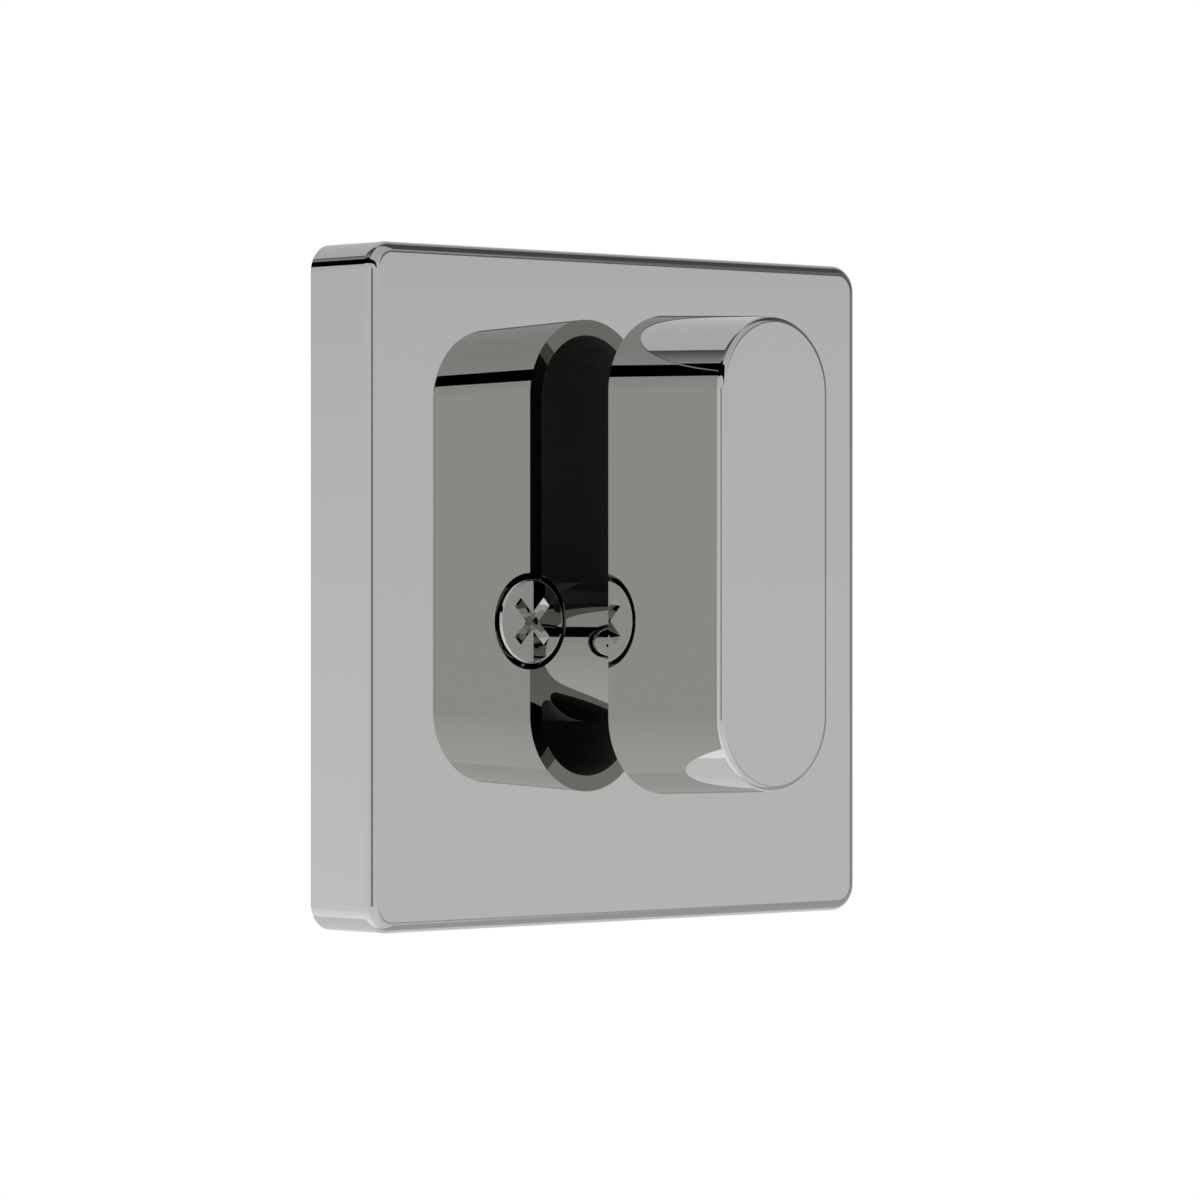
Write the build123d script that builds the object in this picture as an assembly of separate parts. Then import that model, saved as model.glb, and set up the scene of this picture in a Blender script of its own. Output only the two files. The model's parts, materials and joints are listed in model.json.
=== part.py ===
"""One-sided deadbolt: square rose with a thumbturn, and the bolt that the thumbturn throws.

Millimetres, +Z up. The origin is the centre of the door's cross bore on the room face of the
door, midway between the two through screws. +Y runs into the door, +X runs to the door's edge,
and the thumbturn stands out towards -Y. At rest the thumbturn is upright and the bolt is drawn in.
"""
import os
from math import cos, hypot, radians, sqrt, tan

from build123d import *

# Door that the lock is set up for
DOOR_THICKNESS = 51.0
BACKSET = 60.3

# Rose
ROSE_SIZE = 76.2
ROSE_DEPTH = 10.2
ROSE_CORNER_R = 3.1
ROSE_EDGE_R = 1.25
ROSE_WALL = 2.5
ROSE_FACE_WALL = 2.6
ROSE_CAVITY_CORNER_R = 1.5
ROSE_SHIFT_X = -0.4
ROSE_SHIFT_Z = 3.78
SPINDLE_BOSS_WALL = 2.3
SPINDLE_BOSS_LENGTH = 2.6
SCREW_BOSS_WALL = 2.3

# Thumbturn: a hollow grip on a round neck, with a spigot that passes through the rose
TURN_WIDTH = 17.84
TURN_HEIGHT = 54.2
TURN_DEPTH = 17.6
TURN_STANDOFF = 6.5
TURN_DRAFT = 1.5
TURN_EDGE_R = 0.5
TURN_RIM = 1.8
TURN_FACE_WALL = 2.4
TURN_RISE = 11.1
POCKET_CORNER_R = 0.9
NECK_R = 7.95
SPIGOT_R = 5.5
SPIGOT_END_LAND = 0.8
SPINDLE_DROP = 3.6
TURN_ANGLE = 90.0

# Bush, spring washer, thrust washer and clip on the spigot
BUSH_WALL = 1.5
BUSH_FLANGE_WIDTH = 2.0
BUSH_FLANGE = 1.0
BUSH_SET_BACK = 0.1
RUNNING_CLEARANCE = 0.05
SEAT_CLEARANCE = 0.03
WASHER_CLEARANCE = 0.2
WASHER_WIDTH = 2.8
SPRING_THICKNESS = 0.4
SPRING_BOW = 0.7
SPRING_PLAY = 0.1
THRUST_THICKNESS = 0.6
CLIP_THICKNESS = 1.0
CLIP_WIDTH = 1.7
CLIP_LUG_WIDTH = 2.6
CLIP_LUG_SPREAD = 110.0
CLIP_OPENING = 7.0
GROOVE_DEPTH = 0.8
CLIP_LAND = 1.2

# Tailpiece blade and its cross pin
BLADE_WIDTH = 7.0
BLADE_THICKNESS = 2.0
BLADE_SOCKET_DEPTH = 8.0
BLADE_FIT = 0.05
BLADE_OVERHANG = 4.0
BLADE_POINT = 1.5
BLADE_PIN_R = 0.9

# Through screws
SCREW_SPACING = 29.6
SCREW_R = 2.5
SCREW_SHANK_R = 2.2
SCREW_LENGTH = 30.0
SCREW_HOLE_CLEARANCE = 0.3
SCREW_HEAD_R = 4.8
SCREW_HEAD_PROUD = 0.28
SCREW_HEAD_EDGE_R = 0.3
SCREW_TIP_CHAMFER = 0.6
SEAT_MARGIN = 0.65
SEAT_DEPTH = 1.2
CROSS_SPAN = 6.2
CROSS_WIDTH = 1.3
CROSS_DEPTH = 2.4
CROSS_FLOOR_SPAN = 2.0
CROSS_FLOOR_WIDTH = 1.0

# Bolt and its throw
BOLT_THROW = 25.4
BOLT_R = 11.0
BOLT_WIDTH = 15.2
BOLT_NOSE_CHAMFER = 0.8
BOLT_CLEARANCE = 0.3
BOLT_REST_GAP = 1.3
ROD_R = 3.0
ROD_END_WALL = 5.0
ROD_SET_IN = 1.0

# Cam with a forked arm, and the tail and stud that the fork drives
CAM_START_ANGLE = -43.5
HUB_R = 7.0
JOURNAL_R = 6.0
HUB_END_PLAY = 0.1
HUB_SLOT_CLEARANCE = 0.15
ARM_THICKNESS = 2.5
STUD_R = 1.75
STUD_SHANK_R = 1.2
FORK_PLAY = 1.45
PRONG_WIDTH = 1.6
PRONG_END_R = 0.6
FORK_REACH = 0.3
TAIL_THICKNESS = 2.5
TAIL_EDGE = 1.85
TAIL_CLEARANCE = 1.0
TAIL_END_R = 1.8
TAIL_LAP = 8.0
TAIL_PIN_R = 1.5
LAYER_GAP = 0.3

# Case of the bolt: two plates, rivets, a guide disc and a tube
PLATE_THICKNESS = 1.2
PLATE_REAR = 11.0
PLATE_CORNER_R = 4.0
PLATE_INSET = 0.15
PLATE_TONGUE_HEIGHT = 16.0
CASE_SIDE_GAP = 1.35
SCREW_PASSAGE = 0.7
RIVET_R = 1.2
RIVET_SHOULDER_R = 1.8
RIVET_HEAD_R = 2.0
RIVET_HEAD = 0.6
RIVET_EDGE = 2.8
RIVET_HUB_GAP = 0.4
RIVET_FRONT_X = 11.0
GUIDE_THICKNESS = 4.0
GUIDE_CLEARANCE = 0.3
TUBE_WALL = 0.7
TUBE_CLEARANCE = 0.3
TUBE_SCREW_GAP = 1.7
TUBE_TAB_WIDTH = 6.0

# Faceplate and the plate behind it
FACE_WIDTH = 25.4
FACE_HEIGHT = 57.2
FACE_CORNER_R = 6.35
FACE_THICKNESS = 2.0
FACE_EDGE_CHAMFER = 0.4
BACKING_THICKNESS = 1.6
FACE_HOLE_SPACING = 41.3
FACE_HOLE_R = 2.3
FACE_SINK_DEPTH = 1.2

# Stations along the spindle, from the room towards the door
ROSE_FRONT = -ROSE_DEPTH
ROSE_INNER = ROSE_FRONT + ROSE_FACE_WALL
SEAT_STEP = ROSE_FRONT + SEAT_DEPTH
RIM = ROSE_FRONT - TURN_STANDOFF
BUSH_SEAT = ROSE_INNER + SPINDLE_BOSS_LENGTH
BUSH_END = BUSH_SEAT + BUSH_FLANGE
SPRING_END = BUSH_END + SPRING_BOW + SPRING_THICKNESS
THRUST_FRONT = SPRING_END + SPRING_PLAY
CLIP_FRONT = THRUST_FRONT + THRUST_THICKNESS
CLIP_BACK = CLIP_FRONT + CLIP_THICKNESS
BLADE_PIN_Y = CLIP_BACK + CLIP_LAND + BLADE_PIN_R
SPIGOT_END = BLADE_PIN_Y + BLADE_PIN_R + SPIGOT_END_LAND

# Radii on the spindle
BUSH_BORE_R = SPIGOT_R + RUNNING_CLEARANCE
BUSH_R = BUSH_BORE_R + BUSH_WALL
ROSE_BORE_R = BUSH_R + SEAT_CLEARANCE
WASHER_BORE_R = SPIGOT_R + WASHER_CLEARANCE
WASHER_R = WASHER_BORE_R + WASHER_WIDTH
GROOVE_R = SPIGOT_R - GROOVE_DEPTH

# Layers of the bolt's case, across the door
BOLT_PLANE = DOOR_THICKNESS / 2
ARM_BACK = BOLT_PLANE - LAYER_GAP / 2
ARM_FRONT = ARM_BACK - ARM_THICKNESS
TAIL_FRONT = BOLT_PLANE + LAYER_GAP / 2
TAIL_BACK = TAIL_FRONT + TAIL_THICKNESS
CASE_HALF = LAYER_GAP / 2 + max(ARM_THICKNESS, TAIL_THICKNESS) + CASE_SIDE_GAP
CASE_OUTER_HALF = CASE_HALF + PLATE_THICKNESS

# Cam geometry: the stud keeps its height and the fork turns through the thumbturn's angle
CAM_END_ANGLE = CAM_START_ANGLE + TURN_ANGLE
STUD_RISE = BOLT_THROW / (tan(radians(CAM_END_ANGLE)) - tan(radians(CAM_START_ANGLE)))
STUD_X = STUD_RISE * tan(radians(CAM_START_ANGLE))
STUD_Z = STUD_RISE - SPINDLE_DROP
FORK_TIP = STUD_RISE / min(cos(radians(CAM_START_ANGLE)), cos(radians(CAM_END_ANGLE))) + FORK_REACH
FORK_SLOT_HALF = STUD_R + FORK_PLAY
TAIL_TOP = STUD_Z + TAIL_EDGE
TAIL_BOTTOM = max(HUB_R - SPINDLE_DROP, SCREW_R) + TAIL_CLEARANCE

# Radii and stations along the bolt
SCREW_X = SCREW_SPACING / 2
TUBE_BORE_R = max(BOLT_R + TUBE_CLEARANCE, hypot(TAIL_TOP, TAIL_BACK - BOLT_PLANE) + TUBE_CLEARANCE)
TUBE_R = TUBE_BORE_R + TUBE_WALL
GUIDE_REAR = SCREW_X + SCREW_R + TUBE_SCREW_GAP
GUIDE_FRONT = GUIDE_REAR + GUIDE_THICKNESS
BOLT_REAR = GUIDE_FRONT + BOLT_REST_GAP
FACE_REAR = BACKSET - FACE_THICKNESS
BACKING_REAR = FACE_REAR - BACKING_THICKNESS
TAIL_PIN_X = BOLT_REAR + TAIL_LAP / 2
TAIL_PIN_Z = (TAIL_BOTTOM + TAIL_TOP) / 2
TONGUE_TOP = sqrt(BOLT_R**2 - (TAIL_BACK - BOLT_PLANE) ** 2) - SEAT_CLEARANCE

FROM_START = (Align.CENTER, Align.CENTER, Align.MIN)


def slab(sketch, front, back):
    """Sketch in X and Z made solid from the station front to the station back along Y."""
    plane = Plane(origin=(0, back, 0), x_dir=(1, 0, 0), z_dir=(0, -1, 0))
    return extrude(plane * sketch, back - front)


def rod_y(x, z, front, back, radius):
    """Cylinder along Y."""
    plane = Plane(origin=(x, front, z), z_dir=(0, 1, 0))
    return plane * Cylinder(radius, back - front, align=FROM_START)


def cone_y(x, z, front, front_r, back, back_r):
    """Cone along Y, with its radius at each end."""
    plane = Plane(origin=(x, front, z), z_dir=(0, 1, 0))
    return plane * Cone(front_r, back_r, back - front, align=FROM_START)


def ring_y(z, front, back, inner_r, outer_r):
    """Flat ring on the line x = 0, along Y."""
    return rod_y(0, z, front, back, outer_r) - rod_y(0, z, front, back, inner_r)


def along_x(sketch, rear, front):
    """Sketch in Y and Z, centred on the bolt's axis, made solid from rear to front along X."""
    plane = Plane(origin=(rear, BOLT_PLANE, 0), x_dir=(0, 1, 0), z_dir=(1, 0, 0))
    return extrude(plane * sketch, front - rear)


def block(low, high):
    """Box between two corners."""
    size = [b - a for a, b in zip(low, high)]
    return Pos(*low) * Box(*size, align=(Align.MIN, Align.MIN, Align.MIN))


def square(size, corner_r):
    """Rounded square, centred on the rose."""
    return Pos(ROSE_SHIFT_X, ROSE_SHIFT_Z) * RectangleRounded(size, size, corner_r)


def make_rose():
    """Square cast cover, open towards the door, with bosses for the spindle and the screws."""
    rose = slab(square(ROSE_SIZE, ROSE_CORNER_R), ROSE_FRONT, 0)
    rose = fillet(rose.faces().sort_by(Axis.Y)[0].edges(), ROSE_EDGE_R)
    rose -= slab(square(ROSE_SIZE - 2 * ROSE_WALL, ROSE_CAVITY_CORNER_R), ROSE_INNER, 0)
    boss_r = ROSE_BORE_R + SPINDLE_BOSS_WALL
    rose += rod_y(0, -SPINDLE_DROP, ROSE_INNER, BUSH_SEAT, boss_r)
    hole_r = SCREW_R + SCREW_HOLE_CLEARANCE
    seat_r = SCREW_HEAD_R + SEAT_MARGIN
    for x in (-SCREW_X, SCREW_X):
        rose += rod_y(x, 0, ROSE_INNER, 0, hole_r + SCREW_BOSS_WALL)
    rose -= rod_y(0, -SPINDLE_DROP, ROSE_FRONT, BUSH_SEAT, ROSE_BORE_R)
    for x in (-SCREW_X, SCREW_X):
        rose -= rod_y(x, 0, ROSE_FRONT, 0, hole_r)
        rose -= rod_y(x, 0, ROSE_FRONT, SEAT_STEP, seat_r)
        rose -= cone_y(x, 0, SEAT_STEP, seat_r, SEAT_STEP + seat_r - hole_r, hole_r)
    return rose


def make_through_screws():
    """Two countersunk screws: plain shank inside the rose, thread past the door's face, diagonal cross."""
    top = ROSE_FRONT - SCREW_HEAD_PROUD
    cone_start = SEAT_STEP + SEAT_MARGIN - SEAT_CLEARANCE
    cone_end = cone_start + SCREW_HEAD_R - SCREW_SHANK_R
    tip = top + SCREW_LENGTH
    screws = []
    for x in (-SCREW_X, SCREW_X):
        head = rod_y(x, 0, top, cone_start, SCREW_HEAD_R)
        head = fillet(head.faces().sort_by(Axis.Y)[0].edges(), SCREW_HEAD_EDGE_R)
        thread = rod_y(x, 0, 0, tip, SCREW_R)
        thread = chamfer(thread.faces().sort_by(Axis.Y)[-1].edges(), SCREW_TIP_CHAMFER)
        cone = cone_y(x, 0, cone_start, SCREW_HEAD_R, cone_end, SCREW_SHANK_R)
        screw = head + cone + rod_y(x, 0, cone_end, 0, SCREW_SHANK_R) + thread
        mouth = Plane(origin=(x, top, 0), x_dir=(1, 0, 0), z_dir=(0, 1, 0))
        for angle in (45, -45):
            rim = mouth * Rectangle(CROSS_SPAN, CROSS_WIDTH, rotation=angle)
            floor = Rectangle(CROSS_FLOOR_SPAN, CROSS_FLOOR_WIDTH, rotation=angle)
            screw -= loft([rim, mouth.offset(CROSS_DEPTH) * floor])
        screws.append(screw)
    return Compound(screws)


def make_thumbturn():
    """Cast thumbturn: drafted oblong grip with two pockets, round neck, and grooved spigot."""
    spindle_z = -SPINDLE_DROP
    centre = Pos(0, spindle_z + TURN_RISE)
    rim_plane = Plane(origin=(0, RIM, 0), x_dir=(1, 0, 0), z_dir=(0, -1, 0))
    outline = centre * SlotOverall(TURN_HEIGHT, TURN_WIDTH, rotation=90)
    turn = extrude(rim_plane * outline, TURN_DEPTH, taper=TURN_DRAFT)
    turn = fillet(turn.faces().sort_by(Axis.Y)[0].edges(), TURN_EDGE_R)

    pocket_half = TURN_WIDTH / 2 - TURN_RIM
    pocket = centre * SlotOverall(TURN_HEIGHT - 2 * TURN_RIM, 2 * pocket_half, rotation=90)
    pocket -= Pos(0, spindle_z) * Circle(NECK_R)
    if NECK_R > pocket_half:
        pocket = offset(offset(pocket, -POCKET_CORNER_R), POCKET_CORNER_R)
    turn -= extrude(rim_plane * pocket, TURN_DEPTH - TURN_FACE_WALL)

    turn += rod_y(0, spindle_z, RIM, ROSE_FRONT, NECK_R)
    turn += rod_y(0, spindle_z, ROSE_FRONT, SPIGOT_END, SPIGOT_R)
    turn -= ring_y(spindle_z, CLIP_FRONT, CLIP_BACK, GROOVE_R, SPIGOT_R)
    half_thickness = BLADE_THICKNESS / 2 + BLADE_FIT
    half_width = BLADE_WIDTH / 2 + BLADE_FIT
    turn -= block(
        (-half_thickness, SPIGOT_END - BLADE_SOCKET_DEPTH, spindle_z - half_width),
        (half_thickness, SPIGOT_END, spindle_z + half_width),
    )
    return turn - blade_pin_hole(SPIGOT_R)


def blade_pin_hole(reach):
    """Cross hole for the pin that holds the blade in the spigot."""
    plane = Plane(origin=(0, BLADE_PIN_Y, -SPINDLE_DROP), z_dir=(1, 0, 0))
    return plane * Cylinder(BLADE_PIN_R + SEAT_CLEARANCE, 2 * reach)


def make_spindle_bush():
    """Flanged plastic bush that lines the rose's bore and carries the spigot."""
    front = ROSE_FRONT + BUSH_SET_BACK
    bush = rod_y(0, -SPINDLE_DROP, front, BUSH_END, BUSH_R)
    bush += rod_y(0, -SPINDLE_DROP, BUSH_SEAT, BUSH_END, BUSH_R + BUSH_FLANGE_WIDTH)
    return bush - rod_y(0, -SPINDLE_DROP, front, BUSH_END, BUSH_BORE_R)


def make_spring_washer():
    """Bowed spring washer: a ring cut out of a thin cylindrical shell that lies across X."""
    bow_r = (WASHER_R**2 + SPRING_BOW**2) / (2 * SPRING_BOW)
    crown = SPRING_END
    shell_axis = Plane(origin=(0, crown - bow_r, -SPINDLE_DROP), z_dir=(1, 0, 0))
    shell = Cylinder(bow_r, 3 * WASHER_R) - Cylinder(bow_r - SPRING_THICKNESS, 3 * WASHER_R)
    ring = ring_y(-SPINDLE_DROP, BUSH_END, crown, WASHER_BORE_R, WASHER_R)
    return ring & (shell_axis * shell)


def make_thrust_washer():
    """Flat washer between the spring washer and the clip."""
    return ring_y(-SPINDLE_DROP, THRUST_FRONT, CLIP_FRONT, WASHER_BORE_R, WASHER_R)


def make_retaining_clip():
    """Clip with three lugs that grip the groove, open at the bottom."""
    outer_r = WASHER_BORE_R + CLIP_WIDTH
    clip = Circle(outer_r) - Circle(WASHER_BORE_R)
    clip -= Pos(0, -outer_r) * Rectangle(CLIP_OPENING, outer_r)
    lug_length = outer_r - GROOVE_R
    for angle in (0, CLIP_LUG_SPREAD, -CLIP_LUG_SPREAD):
        lug = Pos(0, GROOVE_R + lug_length / 2) * Rectangle(CLIP_LUG_WIDTH, 2 * lug_length)
        clip += (Rot(0, 0, angle) * lug) & Circle(outer_r)
    clip -= Circle(GROOVE_R + SEAT_CLEARANCE)
    return slab(Pos(0, -SPINDLE_DROP) * clip, CLIP_FRONT, CLIP_BACK)


def make_tailpiece():
    """Flat blade from the spigot through the cam's slot, with a tapered end."""
    front = SPIGOT_END - BLADE_SOCKET_DEPTH
    end = BOLT_PLANE + CASE_OUTER_HALF + BLADE_OVERHANG
    blade = block(
        (-BLADE_THICKNESS / 2, front, -SPINDLE_DROP - BLADE_WIDTH / 2),
        (BLADE_THICKNESS / 2, end, -SPINDLE_DROP + BLADE_WIDTH / 2),
    )
    corners = blade.edges().filter_by(Axis.X).group_by(Axis.Y)[-1]
    return chamfer(corners, BLADE_POINT) - blade_pin_hole(SPIGOT_R)


def make_tailpiece_pin():
    """Cross pin through the spigot and the blade."""
    plane = Plane(origin=(0, BLADE_PIN_Y, -SPINDLE_DROP), z_dir=(1, 0, 0))
    half_length = sqrt(SPIGOT_R**2 - BLADE_PIN_R**2)
    return plane * Cylinder(BLADE_PIN_R, 2 * half_length)


def make_cam_hub():
    """Hub on two journals with a forked arm, at the angle it has when the bolt is drawn in."""
    spindle = Pos(0, -SPINDLE_DROP)
    half_width = FORK_SLOT_HALF + PRONG_WIDTH
    arm = Pos(0, FORK_TIP / 2) * Rectangle(2 * half_width, FORK_TIP)
    slot_start = STUD_RISE - FORK_PLAY
    arm -= Pos(0, slot_start + FORK_TIP / 2) * Rectangle(2 * FORK_SLOT_HALF, FORK_TIP)
    arm -= Pos(0, slot_start) * Circle(FORK_SLOT_HALF)
    arm = fillet(arm.vertices().group_by(Axis.Y)[-1], PRONG_END_R)
    hub = slab(spindle * Rot(0, 0, -CAM_START_ANGLE) * arm, ARM_FRONT, ARM_BACK)
    cheek = CASE_HALF - HUB_END_PLAY
    hub += rod_y(0, -SPINDLE_DROP, BOLT_PLANE - cheek, BOLT_PLANE + cheek, HUB_R)
    front = BOLT_PLANE - CASE_OUTER_HALF
    back = BOLT_PLANE + CASE_OUTER_HALF
    hub += rod_y(0, -SPINDLE_DROP, front, back, JOURNAL_R)
    half_thickness = BLADE_THICKNESS / 2 + HUB_SLOT_CLEARANCE
    half_slot = BLADE_WIDTH / 2 + HUB_SLOT_CLEARANCE
    return hub - block(
        (-half_thickness, front, -SPINDLE_DROP - half_slot),
        (half_thickness, back, -SPINDLE_DROP + half_slot),
    )


def bolt_section(margin):
    """Round bolt with two flat sides, grown by a margin."""
    flats = Rectangle(BOLT_WIDTH + 2 * margin, 2 * (BOLT_R + margin))
    return Circle(BOLT_R + margin) & flats


def make_bolt():
    """Solid bolt with a slot for the tail and a bore for the hardened rod."""
    bolt = along_x(bolt_section(0), BOLT_REAR, BACKSET)
    bolt = chamfer(bolt.faces().sort_by(Axis.X)[-1].edges(), BOLT_NOSE_CHAMFER)
    bolt -= block(
        (BOLT_REAR, TAIL_FRONT - SEAT_CLEARANCE, TAIL_BOTTOM - SEAT_CLEARANCE),
        (BOLT_REAR + TAIL_LAP, TAIL_BACK + SEAT_CLEARANCE, BOLT_R),
    )
    bolt -= along_x(Circle(ROD_R + RUNNING_CLEARANCE), BOLT_REAR, BACKSET - ROD_END_WALL)
    front = BOLT_PLANE - BOLT_WIDTH / 2
    back = BOLT_PLANE + BOLT_WIDTH / 2
    return bolt - rod_y(TAIL_PIN_X, TAIL_PIN_Z, front, back, TAIL_PIN_R + SEAT_CLEARANCE)


def make_hardened_rod():
    """Loose hardened rod inside the bolt, which turns under a saw."""
    end = BACKSET - ROD_END_WALL - RUNNING_CLEARANCE
    return along_x(Circle(ROD_R), BOLT_REAR + ROD_SET_IN, end)


def make_bolt_tail():
    """Flat bar from the stud to the bolt, over the hub and the screw, with a tongue inside the bolt."""
    rear = STUD_X - TAIL_EDGE
    length = BOLT_REAR - rear
    centre = Pos((rear + BOLT_REAR) / 2, (TAIL_BOTTOM + TAIL_TOP) / 2)
    bar = centre * Rectangle(length, TAIL_TOP - TAIL_BOTTOM)
    bar = fillet(bar.vertices().group_by(Axis.X)[0], TAIL_END_R)
    tongue_length = TAIL_LAP - SEAT_CLEARANCE
    tongue = Rectangle(tongue_length, TONGUE_TOP - TAIL_BOTTOM)
    bar += Pos(BOLT_REAR + tongue_length / 2, (TAIL_BOTTOM + TONGUE_TOP) / 2) * tongue
    bar -= Pos(STUD_X, STUD_Z) * Circle(STUD_SHANK_R + SEAT_CLEARANCE)
    bar -= Pos(TAIL_PIN_X, TAIL_PIN_Z) * Circle(TAIL_PIN_R + SEAT_CLEARANCE)
    return slab(bar, TAIL_FRONT, TAIL_BACK)


def make_drive_stud():
    """Shouldered stud in the tail, which the cam's fork pushes."""
    head = rod_y(STUD_X, STUD_Z, ARM_FRONT, TAIL_FRONT, STUD_R)
    return head + rod_y(STUD_X, STUD_Z, TAIL_FRONT, TAIL_BACK, STUD_SHANK_R)


def make_tail_pin():
    """Pin across the bolt that holds the tail in its slot."""
    inside_round = sqrt(BOLT_R**2 - (TAIL_PIN_Z + TAIL_PIN_R) ** 2)
    half = min(BOLT_WIDTH / 2, inside_round) - SEAT_CLEARANCE
    return rod_y(TAIL_PIN_X, TAIL_PIN_Z, BOLT_PLANE - half, BOLT_PLANE + half, TAIL_PIN_R)


def plate_half_height():
    """Half the height at which the case still passes the tube's own circle."""
    return sqrt(TUBE_R**2 - CASE_OUTER_HALF**2) - PLATE_INSET


def rivet_places():
    """Centres of the two case rivets, below the hub and the tail."""
    z = RIVET_EDGE - plate_half_height()
    reach = HUB_R + RIVET_SHOULDER_R + RIVET_HUB_GAP
    rear_x = -sqrt(reach**2 - (z + SPINDLE_DROP) ** 2)
    return [(rear_x, z), (RIVET_FRONT_X, z)]


def make_case_plate(front):
    """Side plate of the case, with a tongue for the guide disc, from the station front."""
    half_height = plate_half_height()
    length = GUIDE_REAR + PLATE_REAR
    plate = Pos(length / 2 - PLATE_REAR, 0) * Rectangle(length, 2 * half_height)
    plate = fillet(plate.vertices().group_by(Axis.X)[0], PLATE_CORNER_R)
    tongue = Rectangle(GUIDE_THICKNESS, PLATE_TONGUE_HEIGHT)
    plate += Pos(GUIDE_REAR + GUIDE_THICKNESS / 2, 0) * tongue
    plate -= Pos(0, -SPINDLE_DROP) * Circle(JOURNAL_R + RUNNING_CLEARANCE)
    plate -= Pos(SCREW_X, 0) * Circle(SCREW_R + SCREW_PASSAGE)
    for x, z in rivet_places():
        plate -= Pos(x, z) * Circle(RIVET_R + SEAT_CLEARANCE)
    return slab(plate, front, front + PLATE_THICKNESS)


def make_case_rivets():
    """Shouldered rivets that hold the two plates apart and together."""
    inner_front = BOLT_PLANE - CASE_HALF
    inner_back = BOLT_PLANE + CASE_HALF
    front = BOLT_PLANE - CASE_OUTER_HALF
    back = BOLT_PLANE + CASE_OUTER_HALF
    rivets = []
    for x, z in rivet_places():
        rivet = rod_y(x, z, inner_front, inner_back, RIVET_SHOULDER_R)
        rivet += rod_y(x, z, front, back, RIVET_R)
        rivet += rod_y(x, z, front - RIVET_HEAD, front, RIVET_HEAD_R)
        rivet += rod_y(x, z, back, back + RIVET_HEAD, RIVET_HEAD_R)
        rivets.append(rivet)
    return Compound(rivets)


def make_tube_guide():
    """Disc in the rear of the tube that holds the plates' tongues and guides the tail."""
    disc = along_x(Circle(TUBE_BORE_R - SEAT_CLEARANCE), GUIDE_REAR, GUIDE_FRONT)
    half_tongue = PLATE_TONGUE_HEIGHT / 2 + SEAT_CLEARANCE
    for inner in (-CASE_OUTER_HALF, CASE_HALF):
        low = (GUIDE_REAR, BOLT_PLANE + inner - SEAT_CLEARANCE, -half_tongue)
        high = (GUIDE_FRONT, BOLT_PLANE + inner + PLATE_THICKNESS + SEAT_CLEARANCE, half_tongue)
        disc -= block(low, high)
    return disc - block(
        (GUIDE_REAR, TAIL_FRONT - GUIDE_CLEARANCE, TAIL_BOTTOM - GUIDE_CLEARANCE),
        (GUIDE_FRONT, TAIL_BACK + GUIDE_CLEARANCE, TUBE_BORE_R),
    )


def tube_tabs(margin):
    """Top and bottom tabs of the tube, as a Y and Z section grown by a margin."""
    ring = Circle(TUBE_R + margin) - Circle(TUBE_BORE_R - margin)
    return ring & Rectangle(TUBE_TAB_WIDTH + 2 * margin, 2 * (TUBE_R + margin))


def make_bolt_tube():
    """Thin tube round the bolt, with two tabs staked into the backing plate."""
    tube = along_x(Circle(TUBE_R) - Circle(TUBE_BORE_R), GUIDE_REAR, BACKING_REAR)
    return tube + along_x(tube_tabs(0), BACKING_REAR, FACE_REAR)


def make_faceplate_backing():
    """Steel plate behind the faceplate, which takes the tube's tabs."""
    outline = RectangleRounded(FACE_WIDTH, FACE_HEIGHT, FACE_CORNER_R) - bolt_section(BOLT_CLEARANCE)
    for z in (-FACE_HOLE_SPACING / 2, FACE_HOLE_SPACING / 2):
        outline -= Pos(0, z) * Circle(FACE_HOLE_R)
    return along_x(outline - tube_tabs(SEAT_CLEARANCE), BACKING_REAR, FACE_REAR)


def make_faceplate():
    """Visible plate in the door's edge, with countersunk screw holes."""
    plate = along_x(RectangleRounded(FACE_WIDTH, FACE_HEIGHT, FACE_CORNER_R), FACE_REAR, BACKSET)
    plate = chamfer(plate.faces().sort_by(Axis.X)[-1].edges(), FACE_EDGE_CHAMFER)
    plate -= along_x(bolt_section(BOLT_CLEARANCE), FACE_REAR, BACKSET)
    for z in (-FACE_HOLE_SPACING / 2, FACE_HOLE_SPACING / 2):
        plate -= along_x(Pos(0, z) * Circle(FACE_HOLE_R), FACE_REAR, BACKSET)
        sink = Cone(FACE_HOLE_R, FACE_HOLE_R + FACE_SINK_DEPTH, FACE_SINK_DEPTH, align=FROM_START)
        start = (BACKSET - FACE_SINK_DEPTH, BOLT_PLANE, z)
        plate -= Plane(origin=start, z_dir=(1, 0, 0)) * sink
    return plate


def main():
    """Build every sub-part and write each to its own file."""
    parts = {
        "rose": make_rose(),
        "through_screws": make_through_screws(),
        "spindle_bush": make_spindle_bush(),
        "thumbturn": make_thumbturn(),
        "spring_washer": make_spring_washer(),
        "thrust_washer": make_thrust_washer(),
        "retaining_clip": make_retaining_clip(),
        "tailpiece": make_tailpiece(),
        "tailpiece_pin": make_tailpiece_pin(),
        "cam_hub": make_cam_hub(),
        "bolt": make_bolt(),
        "hardened_rod": make_hardened_rod(),
        "bolt_tail": make_bolt_tail(),
        "drive_stud": make_drive_stud(),
        "tail_pin": make_tail_pin(),
        "case_plate_near": make_case_plate(BOLT_PLANE - CASE_OUTER_HALF),
        "case_plate_far": make_case_plate(BOLT_PLANE + CASE_HALF),
        "case_rivets": make_case_rivets(),
        "tube_guide": make_tube_guide(),
        "bolt_tube": make_bolt_tube(),
        "faceplate_backing": make_faceplate_backing(),
        "faceplate": make_faceplate(),
    }
    os.makedirs("parts", exist_ok=True)
    for name, shape in parts.items():
        export_step(shape, f"parts/{name}.step")


if __name__ == "__main__":
    main()
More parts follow.
